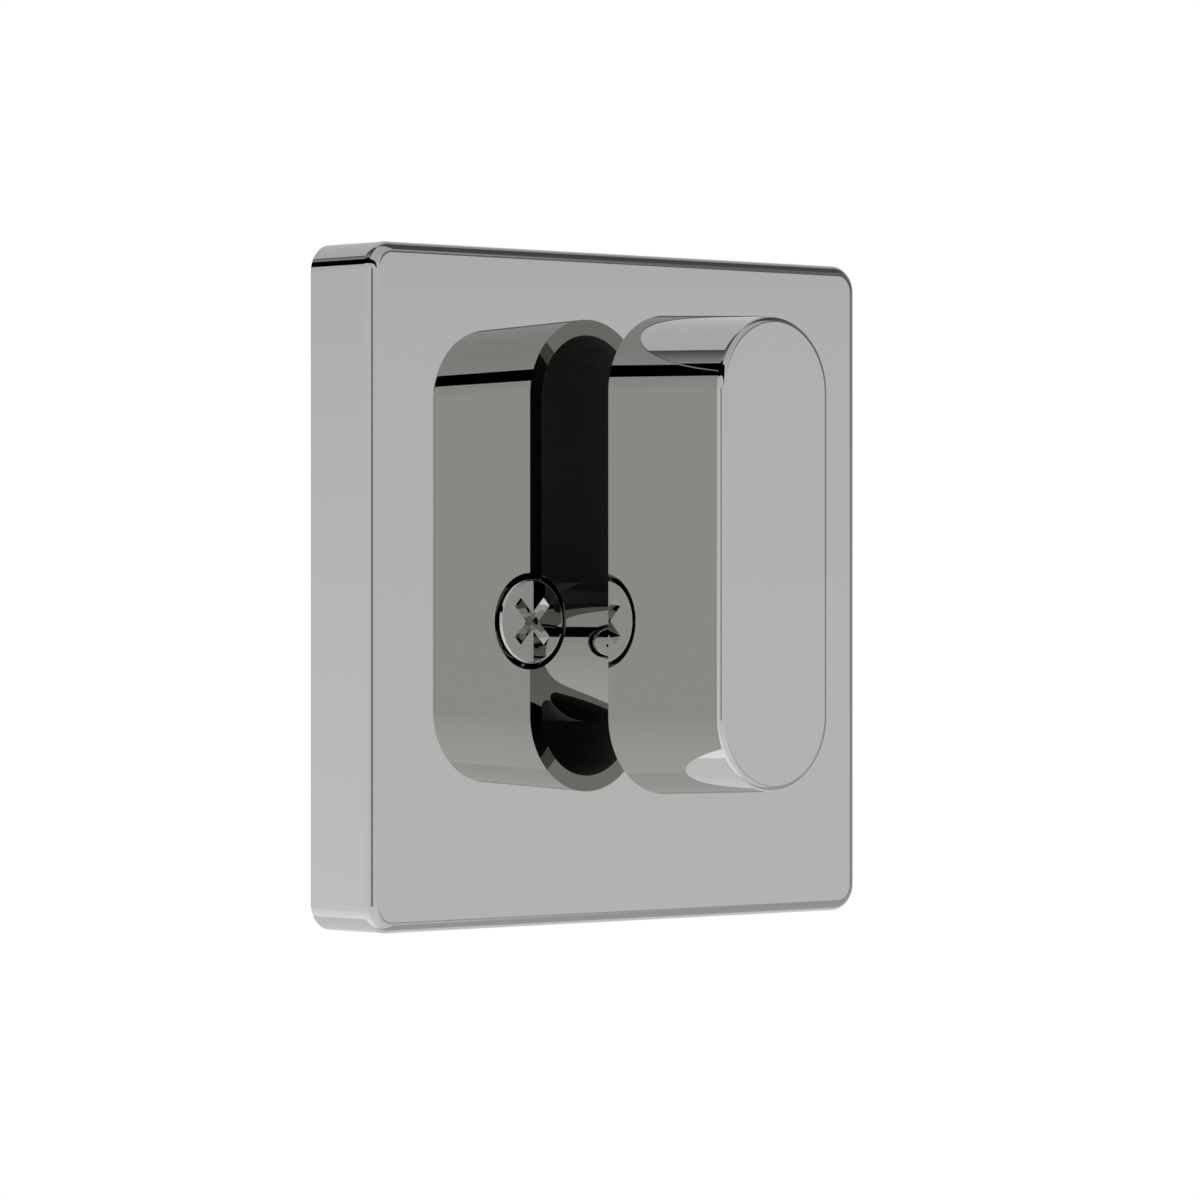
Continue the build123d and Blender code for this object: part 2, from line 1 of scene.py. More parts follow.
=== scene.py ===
# %% [markdown]
# # A deadbolt in bright chrome
#
# The lock is a square rose that covers the hole in a door, a thumbturn that a hand turns, and the bolt
# behind them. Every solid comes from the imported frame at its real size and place, so this file has three
# jobs: to give each surface the finish of the real piece, to make two pieces anew where the real ones are
# finer than their solids, and to light the lock so that its finish can be read. Chrome has hardly any
# colour of its own. It shows the room, so the room is built here as carefully as the metal.

# %% The frame
import json
from math import atan, cos, degrees, pi, radians, sin

import bpy
import numpy as np
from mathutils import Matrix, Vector


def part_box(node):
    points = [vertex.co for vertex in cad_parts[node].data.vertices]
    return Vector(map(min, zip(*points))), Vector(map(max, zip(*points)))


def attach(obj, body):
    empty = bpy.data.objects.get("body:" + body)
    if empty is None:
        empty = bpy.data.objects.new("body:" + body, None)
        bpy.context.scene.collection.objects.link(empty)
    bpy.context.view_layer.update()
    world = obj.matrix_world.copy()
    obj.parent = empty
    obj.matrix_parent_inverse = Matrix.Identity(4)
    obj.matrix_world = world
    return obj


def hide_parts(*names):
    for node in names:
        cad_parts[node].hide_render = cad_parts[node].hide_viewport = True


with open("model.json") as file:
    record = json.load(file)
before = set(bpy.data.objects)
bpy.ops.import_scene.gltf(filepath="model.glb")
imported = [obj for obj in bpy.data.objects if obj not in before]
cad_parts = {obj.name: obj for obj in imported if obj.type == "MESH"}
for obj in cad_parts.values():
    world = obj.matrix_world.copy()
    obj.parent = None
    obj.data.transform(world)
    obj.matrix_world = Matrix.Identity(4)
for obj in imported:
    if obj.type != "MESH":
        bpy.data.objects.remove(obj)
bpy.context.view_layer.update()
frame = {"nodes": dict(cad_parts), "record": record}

MM = 0.001
nodes = frame["nodes"]

# %% [markdown]
# ## Helpers for shaders
#
# Colours are written the way a paint program shows them, as sRGB hex. Shaders work with linear light, so
# one function turns hex into linear numbers. A second function adds a node, fills its sockets and links it
# in the same call: a value that is a socket becomes a link, and so does a node, by its first output. A
# third turns a real size in millimetres into the scale of a texture, because Object coordinates count
# metres. The last one starts a material.

# %% Colour, node and scale helpers
def linear(hex_colour):
    """sRGB hex to linear RGBA: a channel up to 0.04045 is divided by 12.92, the rest follow a 2.4 power."""
    channels = np.array([int(hex_colour[i:i + 2], 16) for i in (1, 3, 5)]) / 255
    light = np.where(channels <= 0.04045, channels / 12.92, ((channels + 0.055) / 1.055) ** 2.4)
    return (*light.tolist(), 1.0)


def add(tree, kind, inputs=None, **settings):
    """Adds one shader node with its settings, and sets or links each named or numbered input."""
    node = tree.nodes.new("ShaderNode" + kind)
    for name, value in settings.items():
        setattr(node, name, value)
    for name, value in (inputs or {}).items():
        if isinstance(value, bpy.types.Node):
            value = value.outputs[0]
        if isinstance(value, bpy.types.NodeSocket):
            tree.links.new(value, node.inputs[name])
        else:
            node.inputs[name].default_value = value
    return node


def scale_for(size_mm):
    """Texture scale at which one cell of a pattern is that many millimetres wide."""
    return 1 / (size_mm * MM)


def start_material(name, **values):
    """New material with a Principled shader, whose uniform values are set on its own sockets."""
    material = bpy.data.materials.new(name)
    material.use_nodes = True
    tree = material.node_tree
    shader = tree.nodes["Principled BSDF"]
    for socket, value in values.items():
        shader.inputs[socket.replace("_", " ")].default_value = value
    place = add(tree, "TexCoord").outputs["Object"]
    return material, tree, shader, place


print("mid grey #808080 is", round(linear("#808080")[0], 3), "in linear light")

# %% [markdown]
# ## Where the buffing wheel can't reach
#
# The rose and the thumbturn are zinc castings, ground and buffed before they are plated. The wheel can't
# reach into the hollow back of the thumbturn, or into the rose from the door's side, so the castings stay
# matt there. A second material on those faces would mean an edit to the solid's mesh. Masks from Object
# coordinates find the two hollows without one. Their borders run inside the metal or along a rim.

# %% Hollows of the castings
RIM_Y = -16.7 * MM
RIM_SKIN_MM = 0.02
GRIP_WALL_MM = 1.8
GRIP_FACE_MM = 2.4
ROSE_WALL_MM = 2.8
ROSE_SKIN_MM = 0.2

grip_low, grip_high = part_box("thumbturn")
grip_half = grip_high.x
grip_centre = (grip_low.z + grip_high.z) / 2
grip_straight = (grip_high.z - grip_low.z) / 2 - grip_half
rose_low, rose_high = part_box("rose")
rose_half = (rose_high.x - rose_low.x) / 2
print("grip", round(2 * grip_half / MM, 2), "mm wide, rose", round(2 * rose_half / MM, 2), "mm wide")


def grip_hollow(tree, place):
    """One inside the thumbturn's hollow, zero elsewhere.

    The distance from the grip's centre line is the length of X and of what Z has beyond the line's straight
    part.
    """
    part = add(tree, "SeparateXYZ", {"Vector": place}).outputs
    offset_z = add(tree, "Math", {0: part["Z"], 1: grip_centre}, operation="SUBTRACT")
    rise = add(tree, "Math", {0: offset_z}, operation="ABSOLUTE")
    past_line = add(tree, "Math", {0: rise, 1: grip_straight}, operation="SUBTRACT")
    beyond = add(tree, "Math", {0: past_line, 1: 0.0}, operation="MAXIMUM")
    offset = add(tree, "CombineXYZ", {"X": part["X"], "Y": beyond})
    distance = add(tree, "VectorMath", {0: offset}, operation="LENGTH").outputs["Value"]
    inside = add(tree, "Math", {0: distance, 1: grip_half - GRIP_WALL_MM / 2 * MM}, operation="LESS_THAN")
    ahead = add(tree, "Math", {0: part["Y"], 1: RIM_Y - RIM_SKIN_MM * MM}, operation="LESS_THAN")
    mid_face = grip_low.y + GRIP_FACE_MM / 2 * MM
    behind = add(tree, "Math", {0: part["Y"], 1: mid_face}, operation="GREATER_THAN")
    deep = add(tree, "Math", {0: ahead, 1: behind}, operation="MULTIPLY")
    return add(tree, "Math", {0: inside, 1: deep}, operation="MULTIPLY")


def rose_hollow(tree, place):
    """One inside the rose on the door's side, zero elsewhere.

    The distance is the larger of the offsets from the rose's middle in X and in Z.
    """
    part = add(tree, "SeparateXYZ", {"Vector": place}).outputs
    offset_x = add(tree, "Math", {0: part["X"], 1: (rose_low.x + rose_high.x) / 2}, operation="SUBTRACT")
    offset_z = add(tree, "Math", {0: part["Z"], 1: (rose_low.z + rose_high.z) / 2}, operation="SUBTRACT")
    across = add(tree, "Math", {0: offset_x}, operation="ABSOLUTE")
    rise = add(tree, "Math", {0: offset_z}, operation="ABSOLUTE")
    distance = add(tree, "Math", {0: across, 1: rise}, operation="MAXIMUM")
    inside = add(tree, "Math", {0: distance, 1: rose_half - ROSE_WALL_MM / 2 * MM}, operation="LESS_THAN")
    back_of_face = rose_low.y + (ROSE_WALL_MM - ROSE_SKIN_MM) * MM
    behind = add(tree, "Math", {0: part["Y"], 1: back_of_face}, operation="GREATER_THAN")
    return add(tree, "Math", {0: inside, 1: behind}, operation="MULTIPLY")


# %% [markdown]
# ## Bright chrome on cast zinc
#
# Copper, nickel and a last thin coat of chrome cover the castings. The eye gets an almost perfect mirror, a
# little darker than silver and hardly tinted. One smooth metal shader would be close, but it looks like a
# computer's mirror. A real one has waves from the buffing wheel, less than a micron high, and fine haze
# where the wheel went over less often. Both are noise here, one as bump, one as roughness. In a hollow the
# same chrome is matt, so it is dark and soft, with no mirror images in it.

# %% Bright chrome
CHROME = "#C5C5C3"
BUFF_WAVE_MM = 9.0
BUFF_HEIGHT_MM = 0.0006
HAZE_PATCH_MM = 14.0
HAZE_LEAST = 0.004
HAZE_MOST = 0.014
UNBUFFED_ROUGHNESS = 0.62


def bright_chrome(name, hollow):
    """Chrome over buffed zinc: mirror metal with shallow waves and patches of haze, matt in its hollow."""
    material, tree, shader, place = start_material(name, Base_Color=linear(CHROME), Metallic=1.0)
    patches = add(tree, "TexNoise", {"Vector": place, "Scale": scale_for(HAZE_PATCH_MM), "Detail": 2.0})
    haze = add(tree, "MapRange", {"Value": patches, "To Min": HAZE_LEAST, "To Max": HAZE_MOST})
    soft = add(tree, "MapRange", {"Value": hollow(tree, place), "To Min": haze, "To Max": UNBUFFED_ROUGHNESS})
    waves = add(tree, "TexNoise", {"Vector": place, "Scale": scale_for(BUFF_WAVE_MM), "Detail": 0.0})
    bump = add(tree, "Bump", {"Height": waves, "Distance": BUFF_HEIGHT_MM * MM})
    tree.links.new(soft.outputs["Result"], shader.inputs["Roughness"])
    tree.links.new(bump.outputs["Normal"], shader.inputs["Normal"])
    return material


print("chrome", CHROME, "reflects", round(linear(CHROME)[0], 3), "of red; waves", BUFF_WAVE_MM, "mm wide")

# %% [markdown]
# ## Chrome on steel
#
# The screws, the faceplate and the bolt are steel. Screws are headed cold and tumbled before plating, a
# faceplate is stamped from strip that still shows its rolling direction, and the bolt is drawn bar with a
# satin finish, so their chrome is softer than the rose's. An image of brushed steel could give the grain.
# Noise needs no image and runs along any axis: its cells are squeezed across the grain and stretched along
# it. Real grain is finer than a pixel, so it is drawn as coarse as it needs to show.

# %% Chrome on steel
GRAIN_MM = 0.25
GRAIN_LENGTH_MM = 12.0


def grained_chrome(name, colour, softest, height_mm, along):
    """Chrome over steel with a fine grain along one axis: 0 is X, 1 is Y, 2 is Z."""
    material, tree, shader, place = start_material(name, Base_Color=linear(colour), Metallic=1.0)
    stretch = [scale_for(GRAIN_MM)] * 3
    stretch[along] = scale_for(GRAIN_LENGTH_MM)
    run = add(tree, "Mapping", {"Vector": place, "Scale": stretch})
    grain = add(tree, "TexNoise", {"Vector": run, "Scale": 1.0, "Detail": 3.0})
    soft = add(tree, "MapRange", {"Value": grain, "To Min": softest / 3, "To Max": softest})
    bump = add(tree, "Bump", {"Height": grain, "Distance": height_mm * MM})
    tree.links.new(soft.outputs["Result"], shader.inputs["Roughness"])
    tree.links.new(bump.outputs["Normal"], shader.inputs["Normal"])
    return material


print("grain", GRAIN_MM, "mm wide and", GRAIN_LENGTH_MM, "mm long")

# %% [markdown]
# ## Bright zinc plate
#
# The works inside the door are out of sight and get no polish. The pressed plates, the tube and the blade
# have bright zinc plate with a clear passivation, which leaves soft clouds that lean blue and straw. One
# flat grey would look like paint, so cloudy noise mixes the two tints, and the roughness follows the same
# noise.

# %% Zinc plate
CLOUD_MM = 5.0


def zinc_plate():
    """Bright zinc with clear passivation: two tints mixed by cloudy noise, and roughness that follows it."""
    material, tree, shader, place = start_material("bright zinc plate on pressed steel", Metallic=1.0)
    clouds = add(tree, "TexNoise", {"Vector": place, "Scale": scale_for(CLOUD_MM), "Detail": 4.0})
    tint = add(tree, "ValToRGB", {"Fac": clouds})
    tint.color_ramp.elements[0].position = 0.35
    tint.color_ramp.elements[0].color = linear("#B9C0C6")
    tint.color_ramp.elements[1].position = 0.65
    tint.color_ramp.elements[1].color = linear("#CDCABD")
    soft = add(tree, "MapRange", {"Value": clouds, "To Min": 0.22, "To Max": 0.42})
    tree.links.new(tint.outputs["Color"], shader.inputs["Base Color"])
    tree.links.new(soft.outputs["Result"], shader.inputs["Roughness"])
    return material


print("zinc clouds", CLOUD_MM, "mm wide")

# %% [markdown]
# ## Spring steel
#
# The clip and the bowed washer are tempered spring steel, oiled and almost black. Black paint would hide
# what the oven left on them, which is blue-black scale in small patches with greyer metal between. A noise
# with much detail draws such patches, and a ramp gives them their two tints.

# %% Spring steel
SCALE_PATCH_MM = 2.0


def spring_steel():
    """Tempered spring steel: blue-black scale in patches over grey metal, and roughness that follows them."""
    material, tree, shader, place = start_material("oil-blackened spring steel", Metallic=1.0)
    patches = add(tree, "TexNoise", {"Vector": place, "Scale": scale_for(SCALE_PATCH_MM), "Detail": 5.0})
    tint = add(tree, "ValToRGB", {"Fac": patches})
    tint.color_ramp.elements[0].position = 0.4
    tint.color_ramp.elements[0].color = linear("#3A3D44")
    tint.color_ramp.elements[1].position = 0.75
    tint.color_ramp.elements[1].color = linear("#5E5F63")
    soft = add(tree, "MapRange", {"Value": patches, "To Min": 0.3, "To Max": 0.5})
    tree.links.new(tint.outputs["Color"], shader.inputs["Base Color"])
    tree.links.new(soft.outputs["Result"], shader.inputs["Roughness"])
    return material


print("patches of scale", SCALE_PATCH_MM, "mm wide")

# %% [markdown]
# ## Ground steel
#
# The pins, the stud and the anti-saw rod are hardened and ground, which leaves fine marks close together.
# On pieces this small a bump would only add noise to the picture, so the marks change the roughness alone.
# Real marks are finer than a pixel, and these are as coarse as they need to show.

# %% Ground steel
GRIND_MM = 0.3


def ground_steel():
    """Hardened and ground steel: grey metal with grinding marks close together."""
    material, tree, shader, place = start_material(
        "hardened steel, centreless ground", Base_Color=linear("#AEB0B3"), Metallic=1.0)
    marks = add(tree, "TexNoise", {"Vector": place, "Scale": scale_for(GRIND_MM), "Detail": 2.0})
    soft = add(tree, "MapRange", {"Value": marks, "To Min": 0.15, "To Max": 0.3})
    tree.links.new(soft.outputs["Result"], shader.inputs["Roughness"])
    return material


print("grinding marks", GRIND_MM, "mm wide")

# %% [markdown]
# ## Sintered steel
#
# The cam and the guide disc are pressed from steel powder, baked and filled with oil, and they keep the
# powder's grain. Noise looks like cloud, and Voronoi cells look like packed grains, so the distance to the
# middle of a cell gives both the colour and the bump. The grains are drawn larger than real ones, so that
# they show.

# %% Sintered steel
POWDER_MM = 0.35
POWDER_HEIGHT_MM = 0.02


def sintered_steel():
    """Pressed and sintered steel powder: dark grey, rough, with the powder's grain as colour and bump."""
    material, tree, shader, place = start_material("sintered steel, oil filled", Metallic=1.0, Roughness=0.48)
    powder = add(tree, "TexVoronoi", {"Vector": place, "Scale": scale_for(POWDER_MM)})
    tint = add(tree, "ValToRGB", {"Fac": powder})
    tint.color_ramp.elements[0].color = linear("#8A8984")
    tint.color_ramp.elements[1].color = linear("#55544F")
    bump = add(tree, "Bump", {"Height": powder, "Distance": POWDER_HEIGHT_MM * MM, "Strength": 0.6})
    tree.links.new(tint.outputs["Color"], shader.inputs["Base Color"])
    tree.links.new(bump.outputs["Normal"], shader.inputs["Normal"])
    return material


print("powder grains", POWDER_MM, "mm wide")

# %% [markdown]
# ## Acetal
#
# The bush that carries the spindle is moulded from natural acetal, a waxy white plastic that lets a little
# light into itself. Plain white would look like chalk. A small subsurface radius gives the wax, and a fine
# noise on the roughness gives the sheen of a spark-eroded mould. A mould's own grain is finer than a pixel,
# so this one is drawn as coarse as it needs to show.

# %% Acetal
MOULD_GRAIN_MM = 0.4
WAX_DEPTH_MM = 0.6


def acetal():
    """Natural acetal, moulded: waxy white with a fine, even sheen."""
    material, tree, shader, place = start_material(
        "natural acetal, moulded", Base_Color=linear("#EDEAE0"), IOR=1.48,
        Subsurface_Weight=0.2, Subsurface_Scale=WAX_DEPTH_MM * MM)
    grain = add(tree, "TexNoise", {"Vector": place, "Scale": scale_for(MOULD_GRAIN_MM), "Detail": 2.0})
    soft = add(tree, "MapRange", {"Value": grain, "To Min": 0.32, "To Max": 0.45})
    tree.links.new(soft.outputs["Result"], shader.inputs["Roughness"])
    return material


print("mould grain", MOULD_GRAIN_MM, "mm wide; light goes", WAX_DEPTH_MM, "mm deep")

# %% [markdown]
# ## Giving each solid its finish
#
# A CAD node keeps its mesh, and only its material slot changes. Each slot could be set beside its finish,
# but one list is easier to check. It reads like a parts list: the finish first, then the pieces that have
# it.

# %% Finishes on the nodes
rose_chrome = bright_chrome("bright chrome plate on cast zinc, matt behind", rose_hollow)
grip_chrome = bright_chrome("bright chrome plate on cast zinc, matt hollow", grip_hollow)
screw_chrome = grained_chrome("chrome plate on headed steel", CHROME, softest=0.05, height_mm=0.0002, along=1)
strip_chrome = grained_chrome("chrome plate on rolled strip", CHROME, softest=0.12, height_mm=0.0006, along=2)
bolt_chrome = grained_chrome(
    "satin chrome plate on drawn bar", "#BDBDBA", softest=0.3, height_mm=0.001, along=0)
finishes = {
    "bright rose": (rose_chrome, ["rose"]),
    "bright grip": (grip_chrome, ["thumbturn"]),
    "plated screws": (screw_chrome, ["through_screws"]),
    "plated strip": (strip_chrome, ["faceplate"]),
    "satin bolt": (bolt_chrome, ["bolt"]),
    "zinc": (zinc_plate(), ["case_plate_near", "case_plate_far", "case_rivets", "bolt_tube",
                            "faceplate_backing", "bolt_tail", "tailpiece", "thrust_washer"]),
    "spring": (spring_steel(), ["spring_washer", "retaining_clip"]),
    "ground": (ground_steel(), ["hardened_rod", "tail_pin", "tailpiece_pin", "drive_stud"]),
    "sintered": (sintered_steel(), ["cam_hub", "tube_guide"]),
    "plastic": (acetal(), ["spindle_bush"]),
}
for title, (material, names) in finishes.items():
    for name in names:
        nodes[name].material_slots[0].material = material
    print(f"{title}: {material.name} on {', '.join(names)}")

# %% [markdown]
# ## From solids to new pieces
#
# The real thumbturn has a softer edge than its solid, and the real screws have threads. Modelling either
# from nothing would lose the solid's true form, so a new piece keeps the rest of its solid, copied as
# arrays with the solid's own normals, and adds a grid. A grid needs only its points: the faces follow from
# the count of rows and columns, in an order that turns every face outward.

# %% Arrays, faces and new pieces
TOUCH_MM = 0.01


def triangles_of(mesh):
    """A CAD mesh as arrays: the places of each triangle's corners, and the normals there."""
    points = np.empty(len(mesh.vertices) * 3)
    mesh.vertices.foreach_get("co", points)
    corners = np.empty(len(mesh.loops), dtype=np.int64)
    mesh.loops.foreach_get("vertex_index", corners)
    normals = np.empty(len(mesh.loops) * 3)
    mesh.corner_normals.foreach_get("vector", normals)
    return points.reshape(-1, 3)[corners.reshape(-1, 3)], normals.reshape(-1, 3, 3)


def merged(corners):
    """Points and faces of loose triangles: corners at one place become one point."""
    points, numbers = np.unique(corners.reshape(-1, 3), axis=0, return_inverse=True)
    return points, numbers.reshape(-1, 3)


def band_faces(rows, columns):
    """Outward faces of a closed band whose rows run towards -Y and whose columns turn from X to Z."""
    row, column = np.meshgrid(np.arange(rows - 1), np.arange(columns), indexing="ij")
    here, after = row * columns + column, row * columns + (column + 1) % columns
    return np.stack([here, after, after + columns, here + columns], axis=-1).reshape(-1, 4)


def new_piece(name, points, faces, corner_normals, material, node, body):
    """New object at the origin that stands for a CAD node on a body. A zero normal means a smooth one."""
    mesh = bpy.data.meshes.new(name)
    mesh.from_pydata(points, [], faces)
    mesh.shade_smooth()
    mesh.normals_split_custom_set(corner_normals)
    mesh.materials.append(material)
    piece = bpy.data.objects.new(name, mesh)
    bpy.context.scene.collection.objects.link(piece)
    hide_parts(node)
    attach(piece, body)
    print(f"{name}: {len(mesh.polygons)} faces in place of {node}, on {body}")
    return piece


print("a band of 3 rows and 4 columns has", len(band_faces(3, 4)), "faces")

# %% [markdown]
# ## The thumbturn's buffed edge
#
# A casting leaves its die with a crisp edge, half a millimetre round in the solid. A buffing wheel takes
# more off edges and ends than off a face, so the finished grip is rounder at the front and a little shorter
# there. A Bevel modifier would have to find that one edge among thousands of small triangles. So the new
# piece keeps the solid's rim, hollow, neck and spigot, and its outer wall, front edge and face are one
# grid: one way round the oblong, the other way along a section from the rim to the middle of the face.

# %% Buffed thumbturn
BUFFED_EDGE_MM = 0.7
BUFFED_END_MM = 0.2
DRAFT = radians(1.5)
WALL_LEAN = 0.2
END_STEPS = 96
EDGE_STEPS = 12


def grip_grid():
    """Outer wall, front edge and face of the grip: points, and the normal at each point.

    The section starts at the rim, meets an arc from the wall's slope to the face, and ends on the centre
    line. Each of its points has a reach, a Y and a slope. Round the oblong, a place is the nearer end of the
    centre line plus the reach times the cosine and sine of the turn. The centre line shortens in proportion
    on the way to the face.
    """
    radius = BUFFED_EDGE_MM * MM
    arc = np.linspace(DRAFT, pi / 2, EDGE_STEPS)
    arc_y = grip_low.y + radius
    arc_reach = grip_half - (RIM_Y - arc_y) * np.tan(DRAFT) - radius / np.cos(DRAFT)
    reach = np.concatenate([[grip_half], arc_reach + radius * np.cos(arc), [0.0]])[:, None]
    depth = np.concatenate([[RIM_Y], arc_y - radius * np.sin(arc), [grip_low.y]])[:, None]
    slope = np.concatenate([[DRAFT], arc, [pi / 2]])[:, None]
    turn = np.concatenate([np.linspace(0, pi, END_STEPS), np.linspace(pi, 2 * pi, END_STEPS)])[None, :]
    straight = grip_straight - BUFFED_END_MM * MM * (RIM_Y - depth) / (RIM_Y - grip_low.y)
    end_z = grip_centre + straight * np.repeat([1, -1], END_STEPS)[None, :]
    points = np.stack([reach * np.cos(turn), depth + 0 * turn, end_z + reach * np.sin(turn)], axis=-1)
    level = np.cos(slope)
    normals = np.stack([level * np.cos(turn), 0 * turn - np.sin(slope), level * np.sin(turn)], axis=-1)
    return points, normals


corners, normals = triangles_of(nodes["thumbturn"].data)
beyond = np.clip(np.abs(corners[..., 2] - grip_centre) - grip_straight, 0, None)
outside = np.hypot(corners[..., 0], beyond) > grip_half - GRIP_WALL_MM / 2 * MM
upright = np.abs(normals[..., 1]) < WALL_LEAN
ahead = corners[..., 1] < RIM_Y + TOUCH_MM * MM
front = corners[..., 1] < grip_low.y + GRIP_FACE_MM / 2 * MM
kept = ~((outside & upright & ahead).all(axis=1) | front.all(axis=1))

points, triangles = merged(corners[kept])
grid, grid_normals = grip_grid()
quads = band_faces(*grid.shape[:2])
new_piece("buffed_thumbturn", np.vstack([points, grid.reshape(-1, 3)]),
          triangles.tolist() + (quads + len(points)).tolist(),
          np.vstack([normals[kept].reshape(-1, 3), grid_normals.reshape(-1, 3)[quads].reshape(-1, 3)]),
          grip_chrome, "thumbturn", "turn")

# %% [markdown]
# ## Threads on the through screws
#
# The solids stop at the thread's outer diameter, because a thread is too fine for them. A Screw modifier
# could wind one, but its start and its tip would still need cutting. Here each screw keeps the head and
# plain shank of its solid, and gets a rolled metric thread as a grid of angle and length. The radius at
# each grid point is the thread's profile at that place on the helix, so one array expression draws the
# whole thread.

# %% Screw threads
PITCH_MM = 0.8
THREAD_DEPTH_MM = 0.49
FLANK_RISE = 2.7
ROOT_FLAT = 0.15
TIP_CHAMFER_MM = 0.6
ROUND_STEPS = 64
STEPS_PER_PITCH = 10


def thread_grid(centre_x, root_start, end, shank_r, outer_r):
    """Screw thread about a line along Y.

    The phase of a point is its length over the pitch, less its angle over a full turn. The profile rises from
    the root to a flat crest and back as that phase runs from 0 to 1, fades in over the first pitch from the
    plain shank, and is held under a cone at the tip. A last ring on the axis closes the end.
    """
    steps = int(round((end - root_start) / (PITCH_MM * MM) * STEPS_PER_PITCH))
    length = np.linspace(0, end - root_start, steps + 1)[:, None]
    angle = np.linspace(0, 2 * pi, ROUND_STEPS, endpoint=False)[None, :]
    phase = (length / (PITCH_MM * MM) - angle / (2 * pi)) % 1
    flank = np.clip(np.minimum(phase, 1 - phase) * FLANK_RISE - ROOT_FLAT, 0, 1)
    thread = outer_r - THREAD_DEPTH_MM * MM * (1 - flank)
    fade = np.clip(length / (PITCH_MM * MM), 0, 1)
    radius = shank_r + fade * (thread - shank_r)
    left = end - root_start - length
    radius = np.minimum(radius, outer_r - TIP_CHAMFER_MM * MM + left)
    radius = np.vstack([radius, np.zeros((1, ROUND_STEPS))])
    along = np.vstack([length, length[-1:]]) + root_start
    points = np.stack([centre_x + radius * np.cos(angle), along + 0 * angle, radius * np.sin(angle)], axis=-1)
    return points.reshape(-1, 3), band_faces(steps + 2, ROUND_STEPS)[:, ::-1]


DOOR_FACE = 0.0
SHANK_R = 2.2 * MM
screw_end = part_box("through_screws")[1].y
pattern = next(mount["dims"] for mount in frame["record"]["mounts"] if mount["name"] == "through_screws")
screw_x = pattern["spacing_x_mm"] / 2 * MM
screw_r = pattern["stud_r_mm"] * MM

corners, normals = triangles_of(nodes["through_screws"].data)
kept = (corners[..., 1] < DOOR_FACE - TOUCH_MM * MM).any(axis=1)
points, triangles = merged(corners[kept])
faces = triangles.tolist()
corner_normals = normals[kept].reshape(-1, 3)
for x in (-screw_x, screw_x):
    grid, quads = thread_grid(x, DOOR_FACE, screw_end, SHANK_R, screw_r)
    faces += (quads + len(points)).tolist()
    points = np.vstack([points, grid])
    corner_normals = np.vstack([corner_normals, np.zeros((quads.size, 3))])

new_piece("threaded_screws", points, faces, corner_normals,
          screw_chrome, "through_screws", "lock_body")

# %% [markdown]
# ## The room that the chrome shows
#
# A mirror has no shading, so the walls of the studio do the work. They could be built from lit boxes, but
# in a world shader each brightness is one number in a list, and no wall stands in the way of another view.
# The room is long, and its left wall is the one that the lock shows most. Brightness on that wall follows
# the angle about the wall's long axis, so that every edge of a panel is a straight line: pale wall below, a
# black gap above it, then the ceiling. Those gaps draw the thin black lines across each rounded end. The
# other walls follow the plain angle above the horizon. Each stretch of wall has its own ramp, and two
# comparisons cut it off at the room's corners. A screen of black slats stands round the lens, and draws the
# fine dark line along the nearest edges.

# %% Levels of the walls
# A stretch has its first and last compass angle, the angle that its wall faces, a gap, and levels by angle.
WALLS = {
    "left, near the camera": (-184, -104, -104.0, (20.7, 35.4), {
        -90: 0.96, -50: 0.95, -35: 0.92, -20: 0.87, -10: 0.83, -5: 0.80, 0: 0.79, 6: 0.77, 13: 0.73, 19: 0.70,
        36: 0.65, 45: 0.63, 60: 0.61, 90: 0.60}),
    "left, beyond the lock": (-104, -23.5, -85.3, (20.5, 41.2), {
        -90: 1.25, -55: 1.20, -44: 1.12, -33: 1.07, -28: 1.01, -21: 0.93, -5: 0.925, 0: 0.835, 2.6: 0.78,
        5.3: 0.72, 20: 0.68, 41: 0.40, 45: 0.30, 49: 0.25, 55: 0.17, 61: 0.09, 90: 0.06}),
    "back": (-23.5, 58, None, None, {-90: 0.85, -10: 0.85, 0: 0.80, 10: 0.69, 40: 0.66, 90: 0.66}),
    "back, to the right": (58, 86, None, None, {
        -90: 0.85, -16: 0.85, -8: 0.34, 0: 0.32, 10: 0.34, 16: 0.62, 24: 0.62, 45: 0.42, 90: 0.40}),
    "right": (86, 133.8, None, None, {
        -90: 0.55, -10: 0.48, 0: 0.38, 8: 0.18, 26: 0.20, 31: 0.10, 44: 0.09, 90: 0.10}),
    "right, near the camera": (133.8, 152, None, None, {
        -90: 0.86, -34: 0.83, -20: 0.79, -12: 0.50, -8: 0.50, -5: 0.66, -4: 0.80, 0: 0.785, 3: 0.755,
        4.5: 0.62, 7: 0.17, 12: 0.17, 17: 0.32, 20: 0.57, 90: 0.59}),
    "front": (152, 176, None, None, {-90: 0.90, 0: 0.785, 15: 0.70, 30: 0.59, 90: 0.59}),
}
SLATS = [(-146.0, -141.8), (-140.2, -137.6), (-136.4, -134.0), (-132.2, -128.0)]
SLAT_HEIGHT = 5.0
print("walls:", ", ".join(f"{name} to {wall[1]} degrees" for name, wall in WALLS.items()))


# %% Studio walls
def between(tree, value, low, high):
    """One where an angle lies between two angles in degrees, and zero elsewhere."""
    above = add(tree, "Math", {0: value, 1: radians(low)}, operation="GREATER_THAN")
    below = add(tree, "Math", {0: value, 1: radians(high)}, operation="LESS_THAN")
    return add(tree, "Math", {0: above, 1: below}, operation="MULTIPLY")


